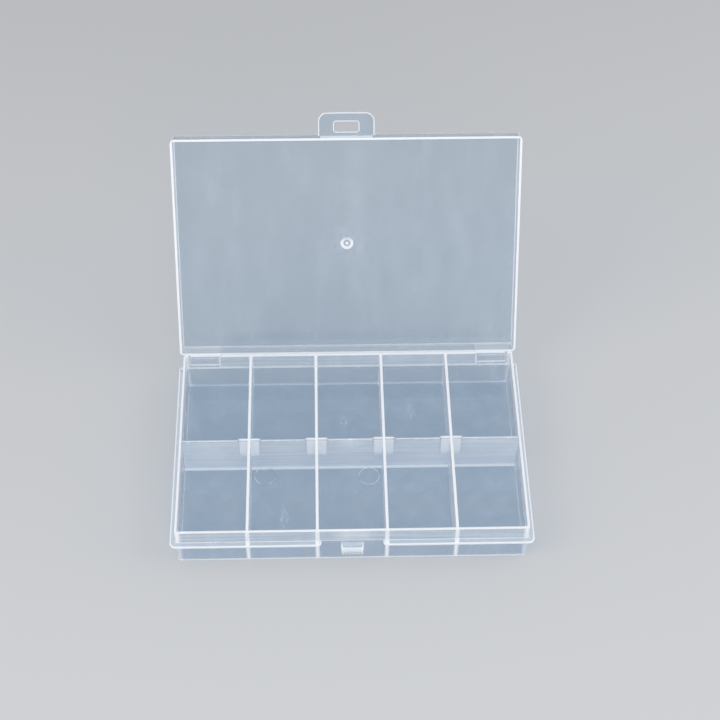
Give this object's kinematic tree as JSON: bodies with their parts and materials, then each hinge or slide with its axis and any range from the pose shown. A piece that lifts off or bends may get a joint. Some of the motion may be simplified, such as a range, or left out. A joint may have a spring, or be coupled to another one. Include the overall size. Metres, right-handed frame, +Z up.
{
  "type": "compartment organizer box",
  "caption": "Clear flat organizer box: a tray of open compartments, a lid on moulded film hinges and a slotted flap that folds over a catch at the front.",
  "frame": {"origin": "centre of the tray's underside", "axes": "+Z up from the underside, -Y towards the latch at the front, +X to the right of someone facing the front"},
  "size_m": [0.1754, 0.1783, 0.1359],
  "materials": {
    "tray": "clear polypropylene, glossy with faint flow streaks",
    "divider": "clear polypropylene, glossy with frosted pads",
    "lid": "clear polypropylene, glossy",
    "film": "thin clear polypropylene, whitened where it bends"
  },
  "bodies": {
    "tray": {"tray_shell": "tray", "long_divider": "divider", "front_divider_1": "divider", "front_divider_2": "divider", "front_divider_3": "divider", "front_divider_4": "divider", "rear_divider_1": "divider", "rear_divider_2": "divider", "rear_divider_3": "divider", "rear_divider_4": "divider", "latch_catch": "tray", "hinge_film_left": "film", "hinge_film_right": "film"},
    "lid": {"lid_shell": "lid", "latch_film": "film"},
    "latch": {"latch_flap": "lid"}
  },
  "joints": [
    {"name": "lid_hinge", "type": "hinge", "parent": "tray", "child": "lid", "pos_m": [0, 0.0602, 0.0164], "axis": [-1, 0, 0], "range_deg": [-115, 65], "deforming": ["hinge_film_left", "hinge_film_right"]},
    {"name": "latch_hinge", "type": "hinge", "parent": "lid", "child": "latch", "pos_m": [0, 0.11058, 0.12443], "axis": [1, 0, 0], "range_deg": [0, 90], "deforming": ["latch_film"]}
  ]
}
